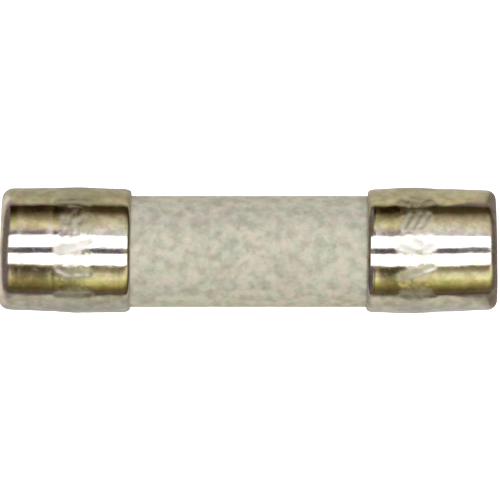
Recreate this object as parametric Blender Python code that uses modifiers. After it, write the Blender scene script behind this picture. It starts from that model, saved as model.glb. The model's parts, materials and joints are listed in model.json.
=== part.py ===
"""Cartridge fuse, 5 x 20 mm, with a ceramic body and plated end caps.

The fuse lies along X with its middle at the origin.  Turned pieces are drawn as a
profile of (radius, height) points, with the height measured from the middle of the
fuse towards one end, and are then laid along X.
"""
import math

import bmesh
import bpy
from mathutils import Matrix

MM = 0.001

# Whole fuse
FUSE_HALF_LENGTH = 10.0 * MM
TURNED_STEPS = 40
CLEARANCE = 0.02 * MM

# End caps: drawn cups with a slight draft, wider at the mouth
CAP_LENGTH = 5.2 * MM
CAP_END_RADIUS = 2.43 * MM
CAP_MOUTH_RADIUS = 2.51 * MM
CAP_END_WALL = 0.25 * MM
CAP_BORE_END_RADIUS = 2.265 * MM
CAP_BORE_MOUTH_RADIUS = 2.30 * MM
CAP_CORNER_RADIUS = 0.40 * MM
CAP_RIM_RADIUS = 0.18 * MM
CAP_INNER_FILLET = 0.15 * MM
CAP_LIP_CHAMFER = 0.03 * MM

# Ceramic tube
TUBE_RADIUS = 2.245 * MM
TUBE_BORE_RADIUS = 1.50 * MM
TUBE_HALF_LENGTH = 9.45 * MM
TUBE_EDGE_CHAMFER = 0.12 * MM

# Film of cement between each cap and the tube
CEMENT_GAP = 0.008 * MM
CEMENT_NEAR_MOUTH = 0.20 * MM
CEMENT_LENGTH = 3.9 * MM

# Fusible element: a thin wire wound on a twisted yarn
CORE_RADIUS = 0.33 * MM
CORE_LOBES = 3
CORE_LOBE_DEPTH = 0.16
CORE_POINTS_PER_LOBE = 3
CORE_TWISTS = 4
CORE_SECTIONS = 48
WIRE_RADIUS = 0.06 * MM
WIRE_PITCH = 1.2 * MM
WIRE_POINTS_PER_TURN = 10
WIRE_END_INSET = 0.10 * MM
ELEMENT_PASSAGE_RADIUS = 0.54 * MM

# Solder puddle in the closed end of each cap
SOLDER_CHAMFER = 0.15 * MM
SOLDER_BORE_INSET = 0.10 * MM
SOLDER_COLLAR_WALL = 0.12 * MM
SOLDER_RISE = 0.50 * MM
SOLDER_RISE_STEPS = 4

# Discs and sand inside the tube
DISC_THICKNESS = 0.18 * MM
DISC_INSET = 0.65 * MM

CAP_MOUTH_HEIGHT = FUSE_HALF_LENGTH - CAP_LENGTH
CAP_FLOOR_HEIGHT = FUSE_HALF_LENGTH - CAP_END_WALL
ELEMENT_HALF_LENGTH = CAP_FLOOR_HEIGHT - 2 * CLEARANCE
DISC_OUTER_HEIGHT = TUBE_HALF_LENGTH - DISC_INSET
DISC_INNER_HEIGHT = DISC_OUTER_HEIGHT - DISC_THICKNESS
SAND_HALF_LENGTH = DISC_INNER_HEIGHT - CLEARANCE

LAY_RIGHT = math.radians(90)
LAY_LEFT = math.radians(-90)


def clear_scene():
    for obj in list(bpy.data.objects):
        bpy.data.objects.remove(obj, do_unlink=True)


def make_material(name, colour, metallic, roughness):
    material = bpy.data.materials.new(name)
    material.use_nodes = True
    shader = material.node_tree.nodes["Principled BSDF"]
    shader.inputs["Base Color"].default_value = (*colour, 1.0)
    shader.inputs["Metallic"].default_value = metallic
    shader.inputs["Roughness"].default_value = roughness
    material.diffuse_color = (*colour, 1.0)
    return material


def add_object(name, data, material, collection):
    obj = bpy.data.objects.new(name, data)
    if not data.materials:
        data.materials.append(material)
    collection.objects.link(obj)
    return obj


def arc(centre, radius, start_degrees, end_degrees, steps):
    """Points on an arc in the (radius, height) plane, both ends included."""
    points = []
    for index in range(steps + 1):
        angle = math.radians(start_degrees + (end_degrees - start_degrees) * index / steps)
        points.append((centre[0] + radius * math.cos(angle), centre[1] + radius * math.sin(angle)))
    return points


def profile_mesh(name, points, closed):
    """A line of edges in the XZ plane, ready to be turned about Z."""
    mesh = bpy.data.meshes.new(name)
    shape = bmesh.new()
    verts = [shape.verts.new((radius, 0.0, height)) for radius, height in points]
    for first, second in zip(verts, verts[1:]):
        shape.edges.new((first, second))
    if closed:
        shape.edges.new((verts[-1], verts[0]))
    shape.to_mesh(mesh)
    shape.free()
    return mesh


def turned(name, mesh, material, collection, lay):
    """Turn a profile about its own Z axis and lay it along X."""
    obj = add_object(name, mesh, material, collection)
    obj.rotation_euler = (0.0, lay, 0.0)
    screw = obj.modifiers.new("turn", "SCREW")
    screw.axis = "Z"
    screw.angle = math.radians(360)
    screw.steps = TURNED_STEPS
    screw.render_steps = TURNED_STEPS
    screw.use_merge_vertices = True
    screw.merge_threshold = 1e-7
    screw.use_smooth_shade = True
    return obj


def cap_bore_radius(height):
    """Radius of a cap's slightly conical bore at a height."""
    share = (height - CAP_MOUTH_HEIGHT) / (CAP_FLOOR_HEIGHT - CAP_MOUTH_HEIGHT)
    return CAP_BORE_MOUTH_RADIUS + (CAP_BORE_END_RADIUS - CAP_BORE_MOUTH_RADIUS) * share


def cap_profile():
    """Cup section: out over the closed end, down the barrel, round the rim, up the bore."""
    corner_centre = (CAP_END_RADIUS - CAP_CORNER_RADIUS, FUSE_HALF_LENGTH - CAP_CORNER_RADIUS)
    rim_centre = (CAP_MOUTH_RADIUS - CAP_RIM_RADIUS, CAP_MOUTH_HEIGHT + CAP_RIM_RADIUS)
    fillet_height = CAP_FLOOR_HEIGHT - CAP_INNER_FILLET
    fillet_centre = (cap_bore_radius(fillet_height) - CAP_INNER_FILLET, fillet_height)
    lip_height = CAP_MOUTH_HEIGHT + CAP_LIP_CHAMFER
    points = [(0.0, FUSE_HALF_LENGTH)]
    points += arc(corner_centre, CAP_CORNER_RADIUS, 90, 0, 4)
    points += arc(rim_centre, CAP_RIM_RADIUS, 0, -90, 3)
    points.append((cap_bore_radius(lip_height), lip_height))
    points += arc(fillet_centre, CAP_INNER_FILLET, 0, 90, 2)
    points.append((0.0, CAP_FLOOR_HEIGHT))
    return points


def tube_profile():
    """Section of the tube wall, with a small chamfer on each of its four edges."""
    top, chamfer = TUBE_HALF_LENGTH, TUBE_EDGE_CHAMFER
    outer, inner = TUBE_RADIUS, TUBE_BORE_RADIUS
    upper = [(inner + chamfer, top), (outer - chamfer, top), (outer, top - chamfer)]
    lower = [(radius, -height) for radius, height in reversed(upper)]
    return upper + lower + [(inner, chamfer - top), (inner, top - chamfer)]


def ring_profile(inner, outer, bottom, top):
    return [(inner, top), (outer, top), (outer, bottom), (inner, bottom)]


def cement_profile():
    """A thin film that follows the cap's conical bore."""
    bottom = CAP_MOUTH_HEIGHT + CEMENT_NEAR_MOUTH
    top = bottom + CEMENT_LENGTH
    inner = TUBE_RADIUS + CEMENT_GAP
    return [
        (inner, top),
        (cap_bore_radius(top) - CEMENT_GAP, top),
        (cap_bore_radius(bottom) - CEMENT_GAP, bottom),
        (inner, bottom),
    ]


def solder_profile():
    """A flat puddle on the cap's floor that climbs the element as a collar."""
    top = CAP_FLOOR_HEIGHT - CLEARANCE
    bottom = TUBE_HALF_LENGTH + CLEARANCE
    outer = cap_bore_radius(top) - 2 * CLEARANCE
    foot = TUBE_BORE_RADIUS - SOLDER_BORE_INSET
    collar = ELEMENT_PASSAGE_RADIUS + SOLDER_COLLAR_WALL
    points = [(ELEMENT_PASSAGE_RADIUS, top), (outer - SOLDER_CHAMFER, top)]
    points += [(outer, top - SOLDER_CHAMFER), (outer, bottom)]
    for index in range(SOLDER_RISE_STEPS + 1):
        share = index / SOLDER_RISE_STEPS
        points.append((foot + (collar - foot) * share, bottom - SOLDER_RISE * share ** 2))
    points.append((ELEMENT_PASSAGE_RADIUS, bottom - SOLDER_RISE))
    return points


def core_outline():
    """Cross-section of a yarn of three strands, in the plane across its length."""
    count = CORE_LOBES * CORE_POINTS_PER_LOBE
    points = []
    for index in range(count):
        angle = math.tau * index / count
        dip = 0.5 * CORE_LOBE_DEPTH * (1.0 - math.cos(CORE_LOBES * angle))
        radius = CORE_RADIUS * (1.0 - dip)
        points.append((0.0, radius * math.cos(angle), radius * math.sin(angle)))
    return points


def core_mesh():
    """The yarn: its section drawn along X and twisted as it goes."""
    mesh = bpy.data.meshes.new("element_core")
    shape = bmesh.new()
    section = shape.faces.new([shape.verts.new(point) for point in core_outline()])
    bmesh.ops.translate(shape, verts=shape.verts, vec=(-ELEMENT_HALF_LENGTH, 0.0, 0.0))
    step = (2 * ELEMENT_HALF_LENGTH / CORE_SECTIONS, 0.0, 0.0)
    twist = Matrix.Rotation(math.tau * CORE_TWISTS / CORE_SECTIONS, 3, "X")
    for index in range(CORE_SECTIONS):
        grown = bmesh.ops.extrude_face_region(shape, geom=[section])["geom"]
        if index > 0:
            bmesh.ops.delete(shape, geom=[section], context="FACES_ONLY")
        verts = [item for item in grown if isinstance(item, bmesh.types.BMVert)]
        section = next(item for item in grown if isinstance(item, bmesh.types.BMFace))
        bmesh.ops.translate(shape, verts=verts, vec=step)
        bmesh.ops.rotate(shape, verts=verts, cent=(0.0, 0.0, 0.0), matrix=twist)
    bmesh.ops.recalc_face_normals(shape, faces=shape.faces)
    shape.to_mesh(mesh)
    shape.free()
    return mesh


def wire_curve():
    """A helix round the yarn, from one solder puddle to the other."""
    curve = bpy.data.curves.new("element_wire", "CURVE")
    curve.dimensions = "3D"
    curve.bevel_depth = WIRE_RADIUS
    curve.bevel_resolution = 2
    curve.use_fill_caps = True
    sagitta = 1.0 - math.cos(math.pi / WIRE_POINTS_PER_TURN)
    radius = (CORE_RADIUS + WIRE_RADIUS + CLEARANCE / 2) / (1.0 - sagitta)
    half_length = ELEMENT_HALF_LENGTH - WIRE_END_INSET
    count = round(2 * half_length / WIRE_PITCH * WIRE_POINTS_PER_TURN)
    spline = curve.splines.new("POLY")
    spline.points.add(count)
    for index, point in enumerate(spline.points):
        angle = math.tau * index / WIRE_POINTS_PER_TURN
        place = half_length * (2 * index / count - 1)
        point.co = (place, radius * math.cos(angle), radius * math.sin(angle), 1.0)
    return curve


def build():
    clear_scene()
    fuse = bpy.data.collections.new("cartridge_fuse")
    bpy.context.scene.collection.children.link(fuse)

    nickel = make_material("nickel_plate", (0.62, 0.58, 0.47), 1.0, 0.22)
    ceramic = make_material("ceramic", (0.55, 0.52, 0.42), 0.0, 0.75)
    tin = make_material("solder", (0.66, 0.66, 0.64), 1.0, 0.35)
    silver = make_material("element_silver", (0.82, 0.80, 0.76), 1.0, 0.25)
    yarn = make_material("ceramic_yarn", (0.86, 0.84, 0.78), 0.0, 0.9)
    sand = make_material("quartz_sand", (0.74, 0.70, 0.60), 0.0, 0.95)
    fibre = make_material("fibre_board", (0.50, 0.42, 0.30), 0.0, 0.9)
    cement = make_material("cement", (0.42, 0.33, 0.16), 0.0, 0.4)

    tube = profile_mesh("ceramic_tube", tube_profile(), True)
    turned("ceramic_tube", tube, ceramic, fuse, LAY_RIGHT)
    filling = ring_profile(
        ELEMENT_PASSAGE_RADIUS, TUBE_BORE_RADIUS - CLEARANCE, -SAND_HALF_LENGTH, SAND_HALF_LENGTH
    )
    turned("sand_filling", profile_mesh("sand_filling", filling, True), sand, fuse, LAY_RIGHT)

    disc = ring_profile(
        ELEMENT_PASSAGE_RADIUS, TUBE_BORE_RADIUS - CLEARANCE, DISC_INNER_HEIGHT, DISC_OUTER_HEIGHT
    )
    paired = {
        "end_cap": (profile_mesh("end_cap", cap_profile(), False), nickel),
        "cement_ring": (profile_mesh("cement_ring", cement_profile(), True), cement),
        "solder": (profile_mesh("solder", solder_profile(), True), tin),
        "retaining_disc": (profile_mesh("retaining_disc", disc, True), fibre),
    }
    for name, (mesh, material) in paired.items():
        turned(name + "_left", mesh, material, fuse, LAY_LEFT)
        turned(name + "_right", mesh, material, fuse, LAY_RIGHT)

    add_object("element_core", core_mesh(), yarn, fuse)
    add_object("element_wire", wire_curve(), silver, fuse)


build()
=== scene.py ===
"""A 5 x 20 mm cartridge fuse: a ceramic tube between two nickel-plated caps."""
import json
import math

import bmesh
import bpy
from mathutils import Matrix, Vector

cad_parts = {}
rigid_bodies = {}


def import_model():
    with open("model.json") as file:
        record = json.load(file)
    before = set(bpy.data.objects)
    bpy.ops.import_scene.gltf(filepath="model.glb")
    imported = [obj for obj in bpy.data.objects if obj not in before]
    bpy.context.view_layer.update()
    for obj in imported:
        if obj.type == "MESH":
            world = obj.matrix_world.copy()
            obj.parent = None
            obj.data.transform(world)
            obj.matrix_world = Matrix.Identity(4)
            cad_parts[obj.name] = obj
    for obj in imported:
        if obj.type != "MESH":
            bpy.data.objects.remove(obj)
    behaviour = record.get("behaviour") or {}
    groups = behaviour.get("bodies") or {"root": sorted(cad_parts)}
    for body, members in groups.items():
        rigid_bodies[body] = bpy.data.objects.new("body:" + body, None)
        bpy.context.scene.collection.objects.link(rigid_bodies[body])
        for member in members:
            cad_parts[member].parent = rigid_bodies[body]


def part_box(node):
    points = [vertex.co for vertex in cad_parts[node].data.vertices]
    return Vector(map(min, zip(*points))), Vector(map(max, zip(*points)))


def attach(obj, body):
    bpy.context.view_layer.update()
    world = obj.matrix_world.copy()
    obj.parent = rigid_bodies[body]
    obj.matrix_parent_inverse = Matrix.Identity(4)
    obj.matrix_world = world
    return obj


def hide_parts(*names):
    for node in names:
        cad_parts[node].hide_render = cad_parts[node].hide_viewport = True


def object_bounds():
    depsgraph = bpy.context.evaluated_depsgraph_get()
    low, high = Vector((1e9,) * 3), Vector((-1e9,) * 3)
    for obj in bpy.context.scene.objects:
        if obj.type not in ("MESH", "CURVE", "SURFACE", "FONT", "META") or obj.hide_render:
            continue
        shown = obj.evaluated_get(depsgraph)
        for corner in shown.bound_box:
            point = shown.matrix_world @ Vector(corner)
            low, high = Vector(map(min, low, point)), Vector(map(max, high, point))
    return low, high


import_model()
cad_low, cad_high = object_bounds()

MM = 0.001

# Camera and studio. A strip's edges are angles from straight up, across and along the fuse,
# and its two lamps are given by their radiance.
CAMERA_HEIGHT = 400 * MM
VIEW_WIDTH = 20.18 * MM
SENSOR_WIDTH = 36.0
CAMERA_OFFSET = (0.06 * MM, 0.03 * MM)
FLOOR_SIZE = 4.0
FLOOR_GLOW = 0.95
LIGHT_HEIGHT = 300 * MM
FAR_STRIP = (math.radians(4.5), math.radians(26.5))
NEAR_STRIP = (math.radians(6.4), math.radians(28.0))
STRIP_LEFT = math.radians(-29)
STRIP_RIGHT = math.radians(40)
STRIP_SHINE = (2.46, 2.52, 2.90)
STRIP_FILL = (1.87, 1.83, 0.78)

# Caps
CAP_SIDES = 360
CAP_WALL = 0.225 * MM
CAP_FLOOR = 0.25 * MM
CAP_RIM = 0.13 * MM
CORNER_STEPS = 12
RIM_STEPS = 8
DISH_RINGS = 3
DISH_STEP = 0.45 * MM
DISH_DROP = 0.008 * MM
MOUTH_DRAW_REACH = 0.2
SKIN_REACH = 0.1 * MM
LEAST_LONG_EDGE = 0.05 * MM
END_SLACK = 0.01 * MM
TINY = 1e-7
MARK_BAND_WIDTH = 1.80 * MM
MARK_DEPTH = 0.013 * MM
MARK_FROST_REACH = 1.9
BAND_HAZE = 0.42
BAND_HAZE_REACH = 0.8
CRUMPLE_HEIGHT = 0.019 * MM
CRUMPLE_LENGTH = 0.30 * MM
MARK_ROWS = 60
PLAIN_ROWS = 18
WAVE_HEIGHT = 0.016 * MM
WAVE_LENGTH = 1.5 * MM
RIPPLE_HEIGHT = 0.003 * MM
RIPPLE_LENGTH = 0.45 * MM

# Ceramic tube
TUBE_SIDES = 240
TUBE_ROWS = 200
TUBE_ASIDE = -0.03 * MM
GRAIN_HEIGHT = 0.012 * MM
GRAIN_LENGTH = 0.16 * MM
TUBE_EDGE = 0.10 * MM
TUBE_EDGE_STEPS = 3
BORE_CLEARANCE = 0.02 * MM

# How each cap differs from a plain cup. "taper" and "lean" are runs of (share, value) points,
# from 0 at the mouth to 1 at the closed end: "taper" is how many millimetres the radius is
# smaller there, and "lean" how far the ring slopes along the fuse for each unit across it.
# "longer" draws the mouth out, and "tilt" turns the whole cap. "marks" go round the barrel, the
# first of them "first_mark" degrees from the top.
LEFT_CAP = {
    "corner": 0.42 * MM,
    "band_from_end": 3.0 * MM,
    "longer": 0.05 * MM,
    "taper": [
        (0.0, 0.060), (0.06, 0.012), (0.40, -0.016), (0.60, 0.016), (0.85, 0.048), (1.0, 0.075),
    ],
    "lean": [(0.0, 0.0), (0.75, 0.0), (1.0, 0.020)],
    "tilt": math.radians(-0.85),
    "first_mark": -4.0,
    "marks": ["slant", "bend", "bar", "crumbs", "dots", "pair", "bar", "slant",
              "dots", "bend", "crumbs", "pair", "dots", "bar", "dots"],
}
RIGHT_CAP = {
    "corner": 0.38 * MM,
    "band_from_end": 3.27 * MM,
    "longer": 0.02 * MM,
    "taper": [
        (0.0, 0.065), (0.06, 0.020), (0.28, -0.020), (0.36, -0.020), (0.60, 0.030), (1.0, 0.100),
    ],
    "lean": [(0.0, -0.020), (0.25, 0.0), (0.80, 0.0), (1.0, 0.006)],
    "tilt": math.radians(0.35),
    "first_mark": -4.0,
    "marks": ["crumbs", "slant", "dots", "crumbs", "pair", "ticks", "bar", "crumbs",
              "ticks", "slant", "dots", "pair", "bar", "crumbs", "ticks"],
}


# ---------------------------------------------------------------- shader maths

class Wire:
    """One output socket of a node, which can be used in sums and products like a number."""

    def __init__(self, graph, socket):
        self.graph = graph
        self.socket = socket

    def _math(self, operation, *operands):
        settings = {"operation": operation}
        return self.graph.node("ShaderNodeMath", settings, dict(enumerate(operands)))

    def __add__(self, other):
        return self._math("ADD", self, other)

    def __radd__(self, other):
        return self._math("ADD", other, self)

    def __sub__(self, other):
        return self._math("SUBTRACT", self, other)

    def __rsub__(self, other):
        return self._math("SUBTRACT", other, self)

    def __mul__(self, other):
        return self._math("MULTIPLY", self, other)

    def __rmul__(self, other):
        return self._math("MULTIPLY", other, self)

    def __truediv__(self, other):
        return self._math("DIVIDE", self, other)

    def __rtruediv__(self, other):
        return self._math("DIVIDE", other, self)

    def __pow__(self, other):
        return self._math("POWER", self, other)

    def above(self, start, end):
        """Goes smoothly from 0 at start to 1 at end."""
        settings = {"interpolation_type": "SMOOTHSTEP"}
        inputs = {"Value": self, "From Min": start, "From Max": end}
        return self.graph.node("ShaderNodeMapRange", settings, inputs)

    def at_most(self, other):
        return self._math("MINIMUM", self, other)

    def size(self):
        return self._math("ABSOLUTE", self)

    def sine(self):
        return self._math("SINE", self)

    def angle_from_one(self):
        """The angle whose cosine this is."""
        return self._math("ARCCOSINE", self)


class Graph:
    """The nodes of one material or of the world."""

    def __init__(self, tree):
        self.tree = tree
        tree.nodes.clear()

    def node(self, kind, settings=None, inputs=None, output=0):
        """Add a node, set it up, feed its sockets and give back one of its outputs."""
        made = self.tree.nodes.new(kind)
        for name, value in (settings or {}).items():
            if name == "stops":
                self._set_stops(made.color_ramp, value)
            else:
                setattr(made, name, value)
        for name, value in (inputs or {}).items():
            self._feed(made.inputs[name], value)
        return Wire(self, made.outputs[output]) if made.outputs else None

    def _feed(self, socket, value):
        if isinstance(value, Wire):
            self.tree.links.new(value.socket, socket)
        elif isinstance(value, tuple) and len(value) == 3 and socket.type == "RGBA":
            socket.default_value = (*value, 1.0)
        else:
            socket.default_value = value

    @staticmethod
    def _set_stops(ramp, stops):
        while len(ramp.elements) > 1:
            ramp.elements.remove(ramp.elements[-1])
        for index, (place, colour) in enumerate(stops):
            element = ramp.elements[0] if index == 0 else ramp.elements.new(place)
            element.position = place
            element.color = (*colour, 1.0)

    def mix(self, share, first, second):
        """A colour between two others."""
        return self.node("ShaderNodeMix", {"data_type": "RGBA"}, {0: share, 6: first, 7: second}, 2)

    def tint(self, colour, by):
        """A colour with each channel multiplied."""
        settings = {"data_type": "RGBA", "blend_type": "MULTIPLY"}
        return self.node("ShaderNodeMix", settings, {0: 1.0, 6: colour, 7: by}, 2)

    def parts(self, vector):
        """The three numbers of a vector, each on its own."""
        first = self.node("ShaderNodeSeparateXYZ", None, {0: vector})
        return [Wire(self, output) for output in first.socket.node.outputs]

    def millimetres(self, stretch=(1.0, 1.0, 1.0)):
        """The place on the piece in millimetres, squeezed along some axes if asked."""
        place = self.node("ShaderNodeTexCoord", output="Object")
        scale = tuple(part / MM for part in stretch)
        return self.node("ShaderNodeVectorMath", {"operation": "MULTIPLY"}, {0: place, 1: scale})

    def noise(self, place, grain, detail, roughness):
        """Cloudy values round 0.5, with blots about grain millimetres across."""
        inputs = {"Vector": place, "Scale": 1.0 / grain, "Detail": detail, "Roughness": roughness}
        return self.node("ShaderNodeTexNoise", None, inputs)

    def shifted(self, place, by):
        """The same place, moved, so that two patterns on one piece don't coincide."""
        return self.node("ShaderNodeVectorMath", {"operation": "ADD"}, {0: place, 1: by})

    def cells(self, place, size, feature, output):
        """Irregular cells, about size millimetres across."""
        inputs = {"Vector": place, "Scale": 1.0 / size, "Randomness": 1.0}
        return self.node("ShaderNodeTexVoronoi", {"feature": feature}, inputs, output)

    def bump(self, height, depth):
        """A normal from a height of 0 to 1 that stands for depth metres."""
        inputs = {"Height": height, "Distance": depth, "Strength": 1.0}
        return self.node("ShaderNodeBump", None, inputs)

    def surface(self, inputs):
        """Finish a material with one principled surface."""
        shader = self.node("ShaderNodeBsdfPrincipled", None, inputs)
        self.node("ShaderNodeOutputMaterial", None, {"Surface": shader})


def new_material(name):
    """An empty material and its graph."""
    material = bpy.data.materials.new(name)
    material.use_nodes = True
    return material, Graph(material.node_tree)


# ---------------------------------------------------------------- materials

def nickel_plate():
    """Bright nickel over brass, a little warm and stained, with frosted stamped marks and painted
    shade round the mouth.
    """
    material, graph = new_material("nickel_plate_worn")
    place = graph.millimetres()
    clouds = graph.noise(place, 0.9, 4.0, 0.6)
    blots = graph.noise(graph.shifted(place, (2.0, 6.0, 1.0)), 0.42, 3.0, 0.55)
    hue = graph.noise(graph.shifted(place, (5.0, 1.0, 8.0)), 0.50, 2.0, 0.5)
    specks = graph.noise(place, 0.14, 2.0, 0.5)
    lines = graph.noise(graph.millimetres((0.6, 9.0, 9.0)), 0.9, 3.0, 0.65)
    frost = graph.node("ShaderNodeAttribute", {"attribute_name": "frost"}, output="Fac")
    warm = graph.mix(hue.above(0.35, 0.65), (0.625, 0.625, 0.470), (0.670, 0.585, 0.490))
    dull, bright = graph.tint(warm, (0.71, 0.69, 0.62)), graph.tint(warm, (1.03, 1.03, 1.03))
    colour = graph.mix(blots.above(0.30, 0.70), dull, bright)
    colour = graph.mix(clouds.above(0.50, 0.75) * 0.35, colour, (0.46, 0.41, 0.29))
    colour = graph.mix(specks.above(0.62, 0.74) * 0.25, colour, (0.36, 0.31, 0.23))
    crust = frost * (0.35 + blots)
    colour = graph.mix(crust * 0.55, colour, (0.46, 0.47, 0.40))
    x, _, _ = graph.parts(place)
    # Painted shade: the plate is darkened to a dark olive towards the mouth, where the cap meets the
    # tube, its edge made ragged by the clouds.
    mouth_shade = (x.size() + clouds * 0.25).above(5.12, 4.88)
    colour = graph.mix(mouth_shade * 0.55, colour, (0.25, 0.22, 0.15))
    worn = x.size().above(9.62, 9.80)
    roughness = 0.08 + worn * 0.15 + clouds.above(0.50, 0.75) * 0.07 + specks.above(0.5, 0.8) * 0.08
    height = lines * 0.5 + blots * 0.5
    graph.surface({
        "Base Color": colour,
        "Metallic": 1.0,
        "Roughness": roughness + lines * 0.03 + crust * 0.34,
        "Normal": graph.bump(height, 0.002 * MM),
    })
    return material


def fired_ceramic():
    """Unglazed grey-beige ceramic, blotched with cool, rosy and darker grains."""
    material, graph = new_material("fired_ceramic_speckled")
    place = graph.millimetres()
    fine = graph.noise(place, 0.44, 3.0, 0.52)
    broad = graph.noise(graph.shifted(place, (3.0, 9.0, 2.0)), 1.3, 3.0, 0.5)
    hue = graph.noise(graph.shifted(place, (7.0, 3.0, 5.0)), 0.50, 2.0, 0.5)
    ochre = graph.noise(graph.shifted(place, (1.0, 8.0, 4.0)), 0.60, 2.0, 0.5)
    base = graph.mix(hue.above(0.36, 0.64), (0.529, 0.545, 0.442), (0.577, 0.535, 0.447))
    base = graph.mix(ochre.above(0.52, 0.72) * 0.5, base, graph.tint(base, (1.0, 0.98, 0.86)))
    light = graph.mix(fine.above(0.26, 0.66), graph.tint(base, (0.70, 0.70, 0.69)), base)
    colour = graph.mix(broad.above(0.50, 0.70) * 0.5, light, graph.tint(light, (0.84, 0.83, 0.81)))
    specks = graph.noise(graph.shifted(place, (9.0, 4.0, 6.0)), 0.19, 2.0, 0.5)
    colour = graph.mix(specks.above(0.58, 0.74) * 0.55, colour, graph.tint(colour, (0.74, 0.70, 0.69)))
    colour = graph.mix(specks.above(0.40, 0.28) * 0.55, colour, graph.tint(colour, (1.16, 1.17, 1.13)))
    graph.surface({
        "Base Color": colour,
        "Roughness": 0.62 + fine * 0.25,
        "Specular IOR Level": 0.35,
        "Normal": graph.bump(fine, 0.006 * MM),
    })
    return material


def cured_resin():
    """Brown resin that fixes the caps: cloudy amber streaks, glossy, with small bubbles."""
    material, graph = new_material("cured_resin")
    place = graph.millimetres()
    cloud = graph.noise(place, 0.8, 3.0, 0.5)
    streaks = graph.noise(graph.millimetres((4.0, 1.0, 1.0)), 0.5, 3.0, 0.6)
    bubbles = graph.noise(graph.shifted(place, (4.0, 2.0, 7.0)), 0.09, 2.0, 0.5).above(0.62, 0.72)
    colour = graph.mix(cloud.above(0.3, 0.7), (0.34, 0.25, 0.11), (0.48, 0.39, 0.20))
    colour = graph.mix(streaks.above(0.50, 0.75) * 0.4, colour, (0.24, 0.16, 0.07))
    graph.surface({
        "Base Color": graph.mix(bubbles * 0.5, colour, (0.60, 0.52, 0.34)),
        "Roughness": 0.22 + streaks * 0.25,
        "Normal": graph.bump(cloud - bubbles * 0.6, 0.008 * MM),
    })
    return material


def soft_solder():
    """Tin-rich solder, dull grey, frosted where it froze last."""
    material, graph = new_material("soft_solder")
    place = graph.millimetres()
    frost = graph.noise(place, 0.35, 4.0, 0.65)
    flow = graph.noise(graph.millimetres((3.0, 1.0, 1.0)), 0.7, 2.0, 0.5)
    flux = graph.noise(graph.shifted(place, (6.0, 1.0, 3.0)), 0.9, 3.0, 0.5).above(0.56, 0.72)
    colour = graph.mix(frost.above(0.35, 0.7), (0.62, 0.62, 0.60), (0.44, 0.44, 0.43))
    graph.surface({
        "Base Color": graph.mix(flux * 0.6, colour, (0.34, 0.24, 0.11)),
        "Metallic": 1.0 - flux * 0.5,
        "Roughness": 0.24 + frost.above(0.3, 0.8) * 0.28,
        "Normal": graph.bump(flow + frost * 0.4, 0.010 * MM),
    })
    return material


def pressed_fibre():
    """Brown vulcanised fibre, with short fibres lying across one another."""
    material, graph = new_material("pressed_fibre")
    first = graph.noise(graph.millimetres((1.0, 1.2, 12.0)), 0.9, 3.0, 0.6)
    second = graph.noise(graph.millimetres((1.0, 12.0, 1.2)), 0.9, 3.0, 0.6)
    cloud = graph.noise(graph.millimetres(), 0.7, 2.0, 0.5)
    fibres = first.above(0.50, 0.66).at_most(second.above(0.38, 0.60)) + second.above(0.58, 0.70)
    colour = graph.mix(cloud.above(0.3, 0.7), (0.30, 0.20, 0.115), (0.37, 0.26, 0.16))
    graph.surface({
        "Base Color": graph.mix(fibres.at_most(1.0) * 0.45, colour, (0.52, 0.41, 0.28)),
        "Roughness": 0.70 + first * 0.2,
        "Specular IOR Level": 0.30,
        "Normal": graph.bump(first + second, 0.012 * MM),
    })
    return material


def quartz_sand():
    """Packed pale quartz: glassy grains of several tints, with painted shade in the gaps between them.
    """
    material, graph = new_material("quartz_sand")
    place = graph.millimetres()
    grains = graph.cells(place, 0.20, "F1", "Color")
    gaps = graph.cells(place, 0.20, "DISTANCE_TO_EDGE", "Distance").above(0.02, 0.14)
    tint, clear, _ = graph.parts(grains)
    colour = graph.mix(tint, (0.55, 0.50, 0.41), (0.80, 0.77, 0.70))
    colour = graph.mix(clear.above(0.84, 0.90) * 0.6, colour, (0.46, 0.33, 0.20))
    graph.surface({
        # Painted shade: the colour is darkened towards each grain's edge, in the gaps between grains.
        "Base Color": graph.tint(colour, graph.mix(gaps, (0.30, 0.28, 0.25), (1.0, 1.0, 1.0))),
        "Roughness": 0.70 - clear * 0.45,
        "Normal": graph.bump(gaps + tint * 0.5, 0.04 * MM),
    })
    return material


def spun_yarn():
    """White heat-proof yarn, its threads twisted along the fuse, with painted shade in the grooves
    between them.
    """
    material, graph = new_material("spun_ceramic_yarn")
    place = graph.millimetres()
    x, y, z = graph.parts(place)
    angle = graph.node("ShaderNodeMath", {"operation": "ARCTAN2"}, {0: y, 1: z})
    threads = (angle * 9.0 + x * 14.0).sine() * 0.5 + 0.5
    fuzz = graph.noise(place, 0.06, 3.0, 0.6)
    # Painted shade: the colour darkens in the grooves between the twisted threads.
    colour = graph.mix(threads, (0.52, 0.49, 0.43), (0.80, 0.78, 0.73))
    graph.surface({
        "Base Color": graph.mix(fuzz.above(0.45, 0.75) * 0.3, colour, (0.60, 0.55, 0.46)),
        "Roughness": 0.80 + fuzz * 0.15,
        "Specular IOR Level": 0.25,
        "Normal": graph.bump(threads + fuzz * 0.5, 0.02 * MM),
    })
    return material


def fuse_wire():
    """Silvered copper wire, drawn smooth, with tarnish in cloudy lengths."""
    material, graph = new_material("silvered_fuse_wire")
    place = graph.millimetres()
    tarnish = graph.noise(place, 1.1, 3.0, 0.55).above(0.45, 0.72)
    worn = graph.noise(graph.shifted(place, (2.0, 5.0, 1.0)), 0.25, 3.0, 0.6).above(0.60, 0.74)
    drawn = graph.noise(place, 0.05, 2.0, 0.5)
    colour = graph.mix(tarnish * 0.6, (0.80, 0.78, 0.74), (0.50, 0.43, 0.31))
    graph.surface({
        "Base Color": graph.mix(worn * 0.7, colour, (0.72, 0.40, 0.25)),
        "Metallic": 1.0,
        "Roughness": 0.16 + tarnish * 0.22 + drawn * 0.06,
        "Normal": graph.bump(drawn, 0.002 * MM),
    })
    return material


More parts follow.
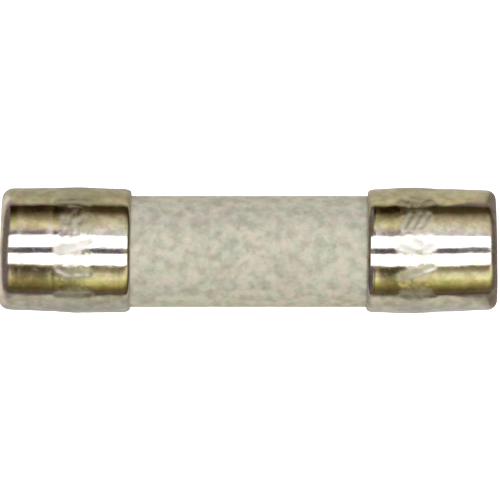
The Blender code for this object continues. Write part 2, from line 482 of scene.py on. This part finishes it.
# ---------------------------------------------------------------- modelling aids

def start_editing(obj):
    bpy.context.view_layer.objects.active = obj
    bpy.ops.object.mode_set(mode="EDIT")


def stop_editing():
    bpy.ops.object.mode_set(mode="OBJECT")


def select(obj, kind, test):
    """Select only the points, edges or faces of the piece in hand that pass a test."""
    bpy.ops.mesh.select_mode(type=kind)
    bpy.ops.mesh.select_all(action="DESELECT")
    shape = bmesh.from_edit_mesh(obj.data)
    items = {"VERT": shape.verts, "EDGE": shape.edges, "FACE": shape.faces}[kind]
    for item in items:
        if test(item):
            item.select_set(True)
    bmesh.update_edit_mesh(obj.data)


def radius_of(point):
    """Distance from the fuse's axis."""
    return math.hypot(point.y, point.z)


def ring_at(x, radius, reach=0.004 * MM):
    """A test for the edges of the ring at one place along the axis and one radius."""
    def test(edge):
        return all(
            abs(vert.co.x - x) < reach and abs(radius_of(vert.co) - radius) < reach
            for vert in edge.verts
        )
    return test


def long_edges_between(low, high, least_radius):
    """A test for edges that run along the axis from low to high, outside a radius."""
    def test(edge):
        first, second = sorted(vert.co.x for vert in edge.verts)
        middle = (edge.verts[0].co + edge.verts[1].co) / 2
        if radius_of(middle) < least_radius or second - first < LEAST_LONG_EDGE:
            return False
        return low - END_SLACK < first and second < high + END_SLACK
    return test


def add_cylinder(name, sides, radius, low, high):
    """A closed cylinder along X, entered for editing."""
    bpy.ops.object.select_all(action="DESELECT")
    bpy.ops.mesh.primitive_cylinder_add(
        vertices=sides, radius=radius, depth=high - low,
        location=((low + high) / 2, 0.0, 0.0), rotation=(0.0, math.radians(90), 0.0),
    )
    obj = bpy.context.object
    obj.name = name
    bpy.ops.object.transform_apply(location=True, rotation=True, scale=True)
    start_editing(obj)
    return obj


def apply_displace(obj, name, height, length=None, group=None):
    """Push the surface in and out by a cloudy pattern or by the weights of a group."""
    change = obj.modifiers.new(name, "DISPLACE")
    change.strength = height
    if length is not None:
        clouds = bpy.data.textures.new(name, "CLOUDS")
        clouds.noise_scale = length
        clouds.noise_depth = 1
        change.texture = clouds
        change.texture_coords = "LOCAL"
        change.mid_level = 0.5
    if group is not None:
        change.vertex_group = group
        change.mid_level = 0.0
    bpy.context.view_layer.objects.active = obj
    bpy.ops.object.modifier_apply(modifier=change.name)


def finish_piece(obj, material, replaced):
    """Dress a piece, round its shading, hang it on the root body and hide the CAD node it stands for.
    """
    obj.data.materials.clear()
    obj.data.materials.append(material)
    bpy.ops.object.select_all(action="DESELECT")
    obj.select_set(True)
    bpy.context.view_layer.objects.active = obj
    bpy.ops.object.shade_smooth()
    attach(obj, "root")
    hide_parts(replaced)


# ---------------------------------------------------------------- stamped marks

def stroke_distance(x, arc, stroke):
    """How far a point of the unrolled barrel is from a short straight stroke, in its widths."""
    x0, a0, x1, a1, width = stroke
    dx, da = x1 - x0, a1 - a0
    share = ((x - x0) * dx + (arc - a0) * da) / (dx * dx + da * da)
    share = min(1.0, max(0.0, share))
    return math.hypot(x - x0 - share * dx, arc - a0 - share * da) / width


# Strokes as (x, arc, x, arc, width), in millimetres on the unrolled barrel. They spell nothing.
MOTIFS = {
    "bar": [(-0.62, 0.03, 0.62, -0.01, 0.17)],
    "dots": [(-0.42, 0.0, -0.26, 0.05, 0.24), (0.20, 0.06, 0.40, -0.05, 0.23)],
    "slant": [(-0.58, 0.20, 0.04, 0.04, 0.18), (0.04, 0.04, 0.60, -0.18, 0.16)],
    "bend": [(-0.60, -0.06, -0.24, 0.10, 0.17), (-0.24, 0.10, 0.58, 0.06, 0.17)],
    "ticks": [(-0.46, 0.26, -0.22, -0.24, 0.14), (-0.12, 0.28, 0.16, -0.26, 0.15),
              (0.24, 0.24, 0.50, -0.28, 0.14)],
    "pair": [(-0.54, 0.16, 0.30, 0.20, 0.15), (-0.20, -0.20, 0.54, -0.16, 0.16)],
    "crumbs": [(-0.56, 0.06, -0.34, 0.16, 0.18), (-0.08, -0.16, 0.16, -0.06, 0.20),
               (0.40, 0.14, 0.58, 0.02, 0.18)],
}


def band_strokes(names, centre, radius, first_degrees):
    """Strokes round a barrel, one motif after another, in unrolled millimetres."""
    strokes = []
    for index, name in enumerate(names):
        angle = math.radians(first_degrees + index * 360.0 / len(names))
        arc = angle * radius / MM
        for x0, a0, x1, a1, width in MOTIFS[name]:
            strokes.append((centre / MM + x0, arc + a0, centre / MM + x1, arc + a1, width))
    return strokes


def weigh_marks(obj, strokes, centre, radius, side):
    """Weigh the band: "marks" along the strokes, "band" all over it, and "frost" for the plate."""
    marks = obj.vertex_groups.new(name="marks")
    band = obj.vertex_groups.new(name="band")
    frost = [0.0] * len(obj.data.vertices)
    girth = math.tau * radius / MM
    for vert in obj.data.vertices:
        off = abs(vert.co.x - centre) / (MARK_BAND_WIDTH / 2)
        if off > 1.0 or radius_of(vert.co) < radius - SKIN_REACH:
            continue
        band.add([vert.index], (1.0 - off ** 4) ** 2, "REPLACE")
        arc = (math.atan2(-side * vert.co.y, vert.co.z) % math.tau) * radius / MM
        nearest = min(
            stroke_distance(side * vert.co.x / MM, arc + turn, stroke)
            for stroke in strokes
            for turn in (-girth, 0.0, girth)
        )
        if nearest < 1.0:
            marks.add([vert.index], (1.0 - nearest ** 2) ** 2, "REPLACE")
        haze = BAND_HAZE * max(0.0, 1.0 - (off / BAND_HAZE_REACH) ** 2)
        close = max(0.0, 1.0 - (nearest / MARK_FROST_REACH) ** 2) ** 1.5
        frost[vert.index] = haze + (1.0 - haze) * close
    obj.data.attributes.new("frost", "FLOAT", "POINT")
    obj.data.attributes["frost"].data.foreach_set("value", frost)


def eased(points, share):
    """A value on a run of (share, value) points, eased from each to the next."""
    for (share0, value0), (share1, value1) in zip(points, points[1:]):
        if share <= share1:
            part = max(0.0, (share - share0) / (share1 - share0))
            return value0 + (value1 - value0) * part * part * (3.0 - 2.0 * part)
    return points[-1][1]


# ---------------------------------------------------------------- pieces

def draw_cup(name, radius, start, end, centre, corner):
    """A plain cup along +X, its mouth at start, with rows of faces where the marks go."""
    bore = radius - CAP_WALL
    cup = add_cylinder(name, CAP_SIDES, radius, start, end)
    depth = end - CAP_FLOOR - start
    select(cup, "FACE", lambda face: face.normal.x < -0.9)
    bpy.ops.mesh.inset(thickness=CAP_WALL)
    bpy.ops.mesh.extrude_region_move(TRANSFORM_OT_translate={"value": (depth, 0.0, 0.0)})
    select(cup, "EDGE", ring_at(end, radius))
    bpy.ops.mesh.bevel(offset=corner, segments=CORNER_STEPS, profile=0.5)
    select(cup, "EDGE", ring_at(start, radius))
    bpy.ops.mesh.bevel(offset=CAP_RIM, segments=RIM_STEPS, profile=0.5)

    band_low, band_high = centre - MARK_BAND_WIDTH / 2, centre + MARK_BAND_WIDTH / 2
    for cut in (band_low, band_high):
        select(cup, "FACE", lambda face: abs(face.normal.x) < 0.2)
        bpy.ops.mesh.bisect(plane_co=(cut, 0.0, 0.0), plane_no=(1.0, 0.0, 0.0))
    stretches = [
        (start, band_low, PLAIN_ROWS),
        (band_low, band_high, MARK_ROWS),
        (band_high, end, PLAIN_ROWS),
    ]
    for from_x, to_x, rows in stretches:
        select(cup, "EDGE", long_edges_between(from_x, to_x, bore + CAP_WALL / 2))
        bpy.ops.mesh.subdivide_edgering(number_cuts=rows)

    select(cup, "FACE", lambda face: face.normal.x > 0.99 and len(face.verts) > 4)
    for _ in range(DISH_RINGS):
        bpy.ops.mesh.inset(thickness=DISH_STEP)
        bpy.ops.transform.translate(value=(-DISH_DROP, 0.0, 0.0))
    stop_editing()
    return cup


def press_out_of_true(cap, radius, start, end, side, form):
    """Give a plain cup its draft, its lean and its drawn-out mouth. Its bore keeps its width."""
    bore = radius - CAP_WALL
    floor = end - CAP_FLOOR
    for vert in cap.data.vertices:
        share = (vert.co.x - start) / (end - start)
        inside = radius_of(vert.co) < bore + TINY and vert.co.x < floor + TINY
        if not inside:
            thinner = 1.0 - eased(form["taper"], share) * MM / radius
            vert.co.y *= thinner
            vert.co.z *= thinner
        vert.co.x -= side * vert.co.y * eased(form["lean"], share)
        vert.co.x -= form["longer"] * max(0.0, 1.0 - share / MOUTH_DRAW_REACH)


def make_cap(name, node, side, form, material):
    """A drawn cup with a rounded end, a rolled rim and a band of shallow stamped marks."""
    low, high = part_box(node)
    radius = (high.z - low.z) / 2
    start, end = sorted((abs(low.x), abs(high.x)))
    centre = end - form["band_from_end"]
    cap = draw_cup(name, radius, start, end, centre, form["corner"])
    strokes = band_strokes(form["marks"], side * centre, radius, form["first_mark"])
    weigh_marks(cap, strokes, centre, radius, side)
    press_out_of_true(cap, radius, start, end, side, form)
    apply_displace(cap, name + "_marks", -MARK_DEPTH, group="marks")
    apply_displace(cap, name + "_crumples", CRUMPLE_HEIGHT, CRUMPLE_LENGTH, group="band")
    apply_displace(cap, name + "_waves", WAVE_HEIGHT, WAVE_LENGTH)
    apply_displace(cap, name + "_ripples", RIPPLE_HEIGHT, RIPPLE_LENGTH)
    if side < 0:
        cap.data.transform(Matrix.Rotation(math.pi, 4, "Z"))
    mouth = Matrix.Translation((side * start, 0.0, 0.0))
    cap.data.transform(mouth @ Matrix.Rotation(form["tilt"], 4, "Z") @ mouth.inverted())
    finish_piece(cap, material, node)


def make_tube(material):
    """The fired tube: open at both ends, slightly rough, and a little to one side in its caps."""
    low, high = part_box("ceramic_tube")
    radius = (high.z - low.z) / 2
    tube = add_cylinder("ceramic_body", TUBE_SIDES, radius, low.x, high.x)
    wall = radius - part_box("sand_filling")[1].z - BORE_CLEARANCE
    select(tube, "FACE", lambda face: abs(face.normal.x) > 0.9)
    bpy.ops.mesh.inset(thickness=wall)
    bpy.ops.mesh.bridge_edge_loops()
    ends = [ring_at(low.x, radius), ring_at(high.x, radius)]
    select(tube, "EDGE", lambda edge: any(test(edge) for test in ends))
    bpy.ops.mesh.bevel(offset=TUBE_EDGE, segments=TUBE_EDGE_STEPS, profile=0.5)
    select(tube, "EDGE", long_edges_between(low.x, high.x, radius - TUBE_EDGE / 2))
    bpy.ops.mesh.subdivide_edgering(number_cuts=TUBE_ROWS)
    stop_editing()
    apply_displace(tube, "tube_grain", GRAIN_HEIGHT, GRAIN_LENGTH)
    tube.data.transform(Matrix.Translation((0.0, TUBE_ASIDE, 0.0)))
    finish_piece(tube, material, "ceramic_tube")


# ---------------------------------------------------------------- studio

def falloff(graph, fall, stops):
    """Colours by the angle from straight up, given as (degrees, colour)."""
    stops = [(degrees / 180.0, colour) for degrees, colour in stops]
    return graph.node("ShaderNodeValToRGB", {"stops": stops}, {0: fall})


def make_world():
    """Pale walls for the eye; in reflections, warm screens between darker gaps."""
    world = bpy.data.worlds.new("studio")
    bpy.context.scene.world = world
    world.use_nodes = True
    graph = Graph(world.node_tree)
    direction = graph.node("ShaderNodeTexCoord", output="Generated")
    x, y, z = graph.parts(direction)
    fall = z.angle_from_one() / math.pi
    gap = (0.11, 0.09, 0.20)
    far_dim = falloff(graph, fall, [
        (0, gap), (30, (0.20, 0.16, 0.26)), (34, (0.34, 0.30, 0.40)), (40, (1.00, 0.93, 0.76)),
        (47, (1.12, 1.06, 0.70)), (55, (0.80, 0.71, 0.47)), (63, (0.31, 0.25, 0.14)),
        (71, (0.10, 0.065, 0.02)), (76, (0.02, 0.010, 0.002)), (92, (0.02, 0.010, 0.002)),
    ])
    far_open = falloff(graph, fall, [
        (0, gap), (30, (0.95, 0.95, 1.15)), (38, (1.12, 1.10, 1.17)), (47, (1.03, 1.00, 0.88)),
        (55, (0.86, 0.81, 0.65)), (63, (0.62, 0.56, 0.43)), (71, (0.26, 0.21, 0.14)),
        (77, (0.09, 0.065, 0.03)), (92, (0.05, 0.03, 0.01)),
    ])
    near_dim = falloff(graph, fall, [
        (0, gap), (28, (0.30, 0.25, 0.13)), (33, (0.07, 0.05, 0.015)), (40, (0.06, 0.045, 0.015)),
        (47, (0.14, 0.12, 0.05)), (55, (0.30, 0.27, 0.13)), (63, (0.31, 0.27, 0.10)),
        (72, (0.23, 0.19, 0.07)), (79, (0.13, 0.10, 0.05)), (90, (0.17, 0.135, 0.10)),
    ])
    near_open = falloff(graph, fall, [
        (0, gap), (28, (0.55, 0.50, 0.36)), (32, (0.30, 0.25, 0.14)), (38, (0.46, 0.40, 0.29)),
        (45, (1.10, 1.05, 0.80)), (55, (1.30, 1.22, 0.82)), (63, (0.88, 0.82, 0.35)),
        (72, (0.40, 0.34, 0.13)), (79, (0.19, 0.15, 0.07)), (90, (0.16, 0.125, 0.09)),
    ])
    open_side = x.above(-0.060, -0.020)
    near = graph.mix((open_side + x.above(-0.10, -0.14) * 0.6).at_most(1.0), near_dim, near_open)
    far = graph.mix(open_side, far_dim, far_open)
    far_share = y.above(-0.05, 0.05)
    sides = graph.mix(far_share, near, far)
    low_wall = fall.above(0.46, 0.50) * x.size().above(0.80, 0.97)
    left_end = graph.mix(far_share, (0.20, 0.165, 0.20), (0.27, 0.22, 0.24))
    left_end = graph.mix(low_wall, left_end, (0.48, 0.45, 0.47))
    right_end = graph.mix(far_share, (0.15, 0.13, 0.15), (0.17, 0.15, 0.16))
    right_end = graph.mix(low_wall, right_end, (0.52, 0.50, 0.49))
    flat = (x * x + y * y) ** 0.5
    left_share = x.above(-0.15, -0.31) * fall.above(0.12, 0.18)
    right_share = (x / flat).above(0.70, 0.97) * fall.above(0.08, 0.20)
    seen = graph.mix(right_share, graph.mix(left_share, sides, left_end), right_end)
    to_eye = graph.node("ShaderNodeLightPath", output="Is Camera Ray")
    colour = graph.mix(to_eye, seen, (1.0, 1.0, 1.0))
    back = graph.node("ShaderNodeBackground", None, {"Color": colour, "Strength": 1.0})
    graph.node("ShaderNodeOutputWorld", None, {"Surface": back})


def make_floor():
    """A plain white sheet that glows to the eye; what metal mirrors of it is a painted grey, with
    painted shade near the fuse and past its ends.
    """
    bpy.ops.object.select_all(action="DESELECT")
    bpy.ops.mesh.primitive_plane_add(size=FLOOR_SIZE, location=(0.0, 0.0, cad_low.z))
    floor = bpy.context.object
    floor.name = "floor"
    material, graph = new_material("white_sheet")
    place = graph.millimetres()
    x, y, _ = graph.parts(place)
    past_end = (x.size() - x.above(0.0, -1.0) * 0.7).above(9.4, 11.2)
    distance = (x * x + y * y) ** 0.5
    far_off = (1.0 / distance).above(0.040, -0.010)
    # Painted shade for reflections only: the floor that metal mirrors is grey, darkest close to the
    # fuse and past its ends, lighter further out, and dark far off.
    mirrored = graph.mix(y.above(-2.0, 6.0), (0.50, 0.51, 0.55), (0.475, 0.46, 0.385))
    mirrored = graph.mix(x.above(-4.0, 5.0), mirrored, graph.tint(mirrored, (1.15, 1.13, 1.12)))
    mirrored = graph.mix(distance.above(9.0, 20.0), mirrored, graph.tint(mirrored, (1.2, 1.2, 1.1)))
    past_left = graph.mix(y.above(-1.0, 4.0), (0.36, 0.31, 0.38), (0.46, 0.41, 0.47))
    beside_end = x.size().above(10.0, 12.5) * x.size().above(45.0, 14.0) * y.size().above(16.0, 6.0)
    past_left = graph.mix(beside_end, past_left, (0.82, 0.78, 0.81))
    past_ends = graph.mix(x.above(-1.0, 1.0), past_left, (0.24, 0.21, 0.22))
    mirrored = graph.mix(past_end, mirrored, past_ends)
    mirrored = graph.mix(far_off, mirrored, (0.05, 0.035, 0.02))
    to_mirror = graph.node("ShaderNodeLightPath", output="Is Glossy Ray")
    to_eye = graph.node("ShaderNodeLightPath", output="Is Camera Ray")
    graph.surface({
        "Base Color": graph.mix(to_mirror, (0.93, 0.95, 0.98), mirrored),
        "Roughness": 1.0,
        "Specular IOR Level": 0.0,
        "Emission Color": graph.mix(to_eye, (0.0, 0.0, 0.0), (FLOOR_GLOW, FLOOR_GLOW, FLOOR_GLOW)),
        "Emission Strength": 1.0,
    })
    floor.data.materials.append(material)


def make_strip_light(name, side, reach):
    """A soft strip overhead: a lamp that metal mirrors, and one that only lights."""
    inner, outer = (LIGHT_HEIGHT * math.tan(angle) for angle in reach)
    left, right = (LIGHT_HEIGHT * math.tan(angle) for angle in (STRIP_LEFT, STRIP_RIGHT))
    for part, radiance, mirrored in (("shine", STRIP_SHINE, True), ("fill", STRIP_FILL, False)):
        light = bpy.data.lights.new(f"{name}_{part}", "AREA")
        light.shape = "RECTANGLE"
        light.size = right - left
        light.size_y = outer - inner
        light.energy = math.pi * light.size * light.size_y  # a radiance of one
        light.color = radiance
        lamp = bpy.data.objects.new(light.name, light)
        lamp.location = ((left + right) / 2, side * (inner + outer) / 2, LIGHT_HEIGHT)
        lamp.visible_camera = False
        lamp.visible_glossy = mirrored
        bpy.context.scene.collection.objects.link(lamp)


def make_camera():
    """A long lens straight above the fuse."""
    data = bpy.data.cameras.new("camera")
    data.sensor_width = SENSOR_WIDTH
    data.lens = SENSOR_WIDTH * CAMERA_HEIGHT / VIEW_WIDTH
    data.clip_start = CAMERA_HEIGHT / 10
    data.clip_end = CAMERA_HEIGHT * 10
    camera = bpy.data.objects.new("camera", data)
    camera.location = (*CAMERA_OFFSET, CAMERA_HEIGHT)
    bpy.context.scene.collection.objects.link(camera)
    bpy.context.scene.camera = camera


def dress_inner_nodes():
    """The pieces inside keep their modelled shapes and get their own materials."""
    resin, solder, fibre = cured_resin(), soft_solder(), pressed_fibre()
    dress = {
        "cement_ring_left": resin,
        "cement_ring_right": resin,
        "solder_left": solder,
        "solder_right": solder,
        "retaining_disc_left": fibre,
        "retaining_disc_right": fibre,
        "sand_filling": quartz_sand(),
        "element_core": spun_yarn(),
        "element_wire": fuse_wire(),
    }
    for name, material in dress.items():
        for slot in bpy.data.objects[name].material_slots:
            slot.material = material


def build():
    plate = nickel_plate()
    make_cap("cap_left", "end_cap_left", -1, LEFT_CAP, plate)
    make_cap("cap_right", "end_cap_right", 1, RIGHT_CAP, plate)
    make_tube(fired_ceramic())
    dress_inner_nodes()
    make_camera()
    make_world()
    make_floor()
    make_strip_light("strip_far", 1, FAR_STRIP)
    make_strip_light("strip_near", -1, NEAR_STRIP)
    bpy.context.scene.view_settings.view_transform = "Standard"


build()
